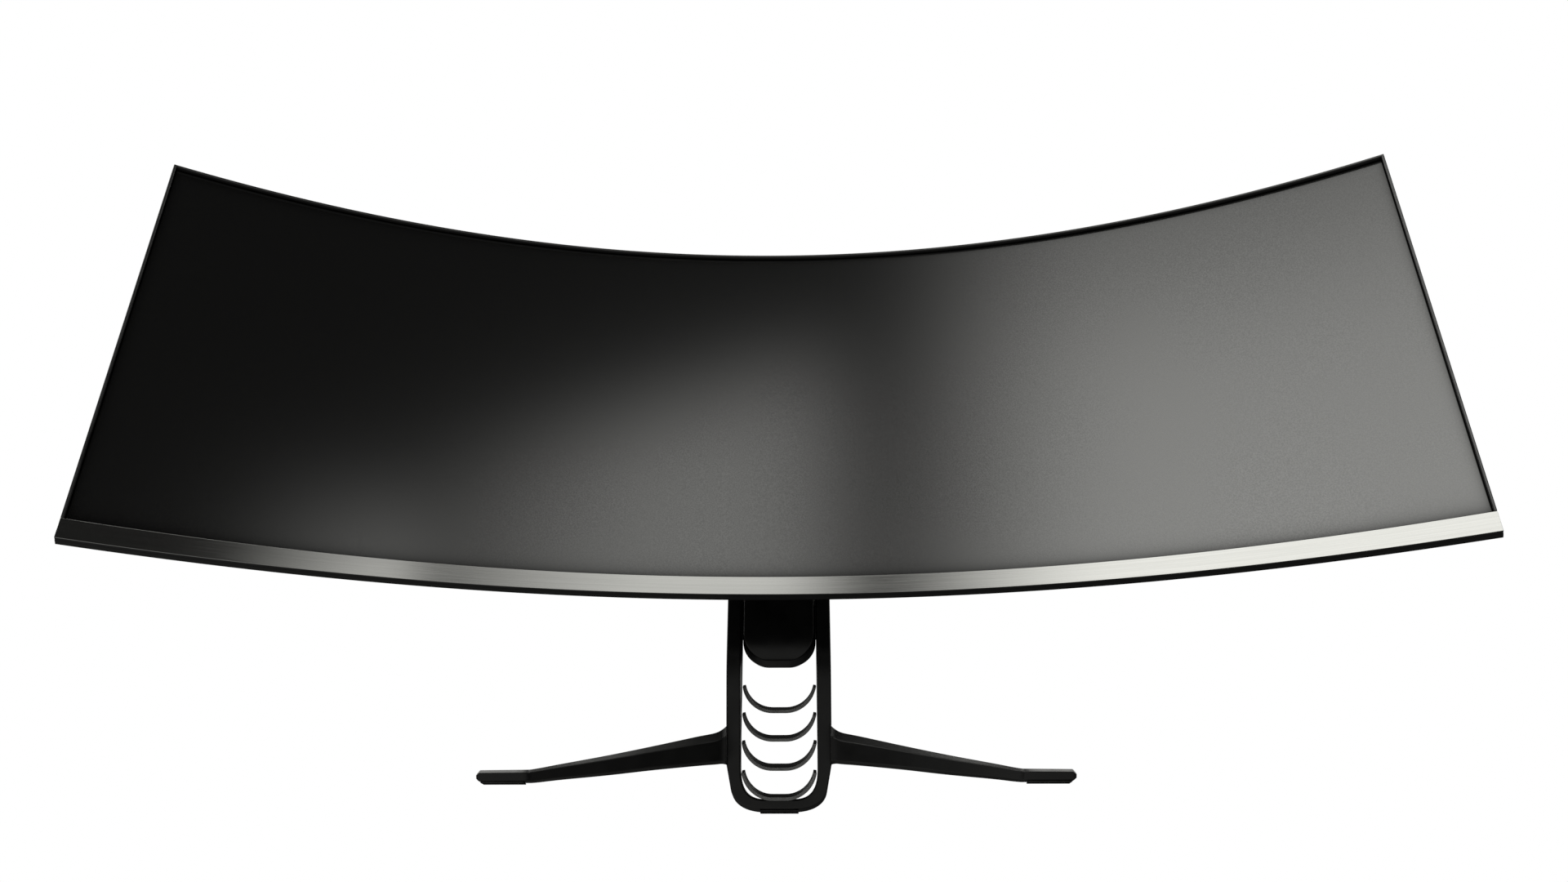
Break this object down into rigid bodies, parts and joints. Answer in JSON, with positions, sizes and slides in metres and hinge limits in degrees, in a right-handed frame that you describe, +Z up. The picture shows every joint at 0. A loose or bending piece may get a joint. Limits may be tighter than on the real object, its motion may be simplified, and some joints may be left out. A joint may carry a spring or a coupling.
{
  "type": "computer monitor",
  "caption": "Curved ultrawide computer monitor with a silver chin on a ribbed column stand with two splayed legs; it lifts, swivels and tilts.",
  "frame": {"origin": "centre of the rear foot pad's face on the desk", "axes": "+Z up, -Y towards the viewer (the screen faces -Y), +X to the viewer's right"},
  "size_m": [1.1656, 0.3265, 0.5518],
  "materials": {
    "stand_black": "satin powder coat",
    "shell_black": "fine spark texture",
    "rib_black": "semi-gloss",
    "chin_silver": "brushed along its length",
    "rim_black": "satin",
    "screen_glass": "anti-glare matte coating",
    "diffuser": "translucent white",
    "sheet_steel": "zinc plated",
    "spring_steel": "ground",
    "board_green": "solder mask",
    "nylon": "natural",
    "ferrite": "wound bobbin",
    "rubber": "matt"
  },
  "bodies": {
    "stand": {"column_frame": "stand_black", "column_back": "shell_black", "column_top_cap": "shell_black", "guide_strip_left": "sheet_steel", "guide_strip_right": "sheet_steel", "spring_strip": "spring_steel", "rib_1": "rib_black", "rib_2": "rib_black", "rib_3": "rib_black", "rib_4": "rib_black", "left_leg": "stand_black", "right_leg": "stand_black", "foot_pad_left": "rubber", "foot_pad_right": "rubber", "foot_pad_rear": "rubber"},
    "carriage": {"lift_carriage": "stand_black", "glide_left": "nylon", "glide_right": "nylon", "swivel_post": "spring_steel", "lift_spring": "spring_steel", "spring_axle": "spring_steel"},
    "swivel": {"swivel_knuckle": "stand_black", "tilt_shaft": "spring_steel", "friction_washer_left": "spring_steel", "friction_washer_right": "spring_steel"},
    "head": {"front_rim": "rim_black", "chin_trim": "chin_silver", "bottom_rail": "shell_black", "screen_panel": "screen_glass", "panel_frame": "shell_black", "optical_films": "diffuser", "light_guide": "diffuser", "led_bar": "board_green", "backlight_tray": "sheet_steel", "rear_cover": "shell_black", "chassis_plate": "sheet_steel", "mount_bracket": "sheet_steel", "main_board": "board_green", "shield_cover": "sheet_steel", "power_board": "board_green", "transformer": "ferrite", "port_shroud": "shell_black", "inlet_shroud": "shell_black", "port_block": "sheet_steel", "power_inlet": "shell_black", "button_bezel": "rim_black", "button_board": "board_green", "mount_plate": "sheet_steel", "tilt_yoke": "stand_black", "yoke_screw_1": "spring_steel", "yoke_screw_2": "spring_steel", "yoke_screw_3": "spring_steel", "yoke_screw_4": "spring_steel"},
    "menu_button_1": {"menu_button_1": "rib_black"},
    "menu_button_2": {"menu_button_2": "rib_black"},
    "menu_button_3": {"menu_button_3": "rib_black"},
    "power_button": {"power_button": "rib_black"}
  },
  "joints": [
    {"name": "lift", "type": "slide", "parent": "stand", "child": "carriage", "axis": [0, 0, 1], "range_m": [-0.11, 0]},
    {"name": "swivel_turn", "type": "hinge", "parent": "carriage", "child": "swivel", "pos_m": [0, -0.08, 0.3318], "axis": [0, 0, 1], "range_deg": [-20, 20]},
    {"name": "tilt", "type": "hinge", "parent": "swivel", "child": "head", "pos_m": [0, -0.08, 0.3618], "axis": [-1, 0, 0], "range_deg": [-5, 20]},
    {"name": "menu_button_1_press", "type": "slide", "parent": "head", "child": "menu_button_1", "axis": [0, -1, 0], "range_m": [0, 0.0008], "stiffness_N_per_m": 600},
    {"name": "menu_button_2_press", "type": "slide", "parent": "head", "child": "menu_button_2", "axis": [0, -1, 0], "range_m": [0, 0.0008], "stiffness_N_per_m": 600},
    {"name": "menu_button_3_press", "type": "slide", "parent": "head", "child": "menu_button_3", "axis": [0, -1, 0], "range_m": [0, 0.0008], "stiffness_N_per_m": 600},
    {"name": "power_button_press", "type": "slide", "parent": "head", "child": "power_button", "axis": [0, -1, 0], "range_m": [0, 0.0008], "stiffness_N_per_m": 600}
  ]
}
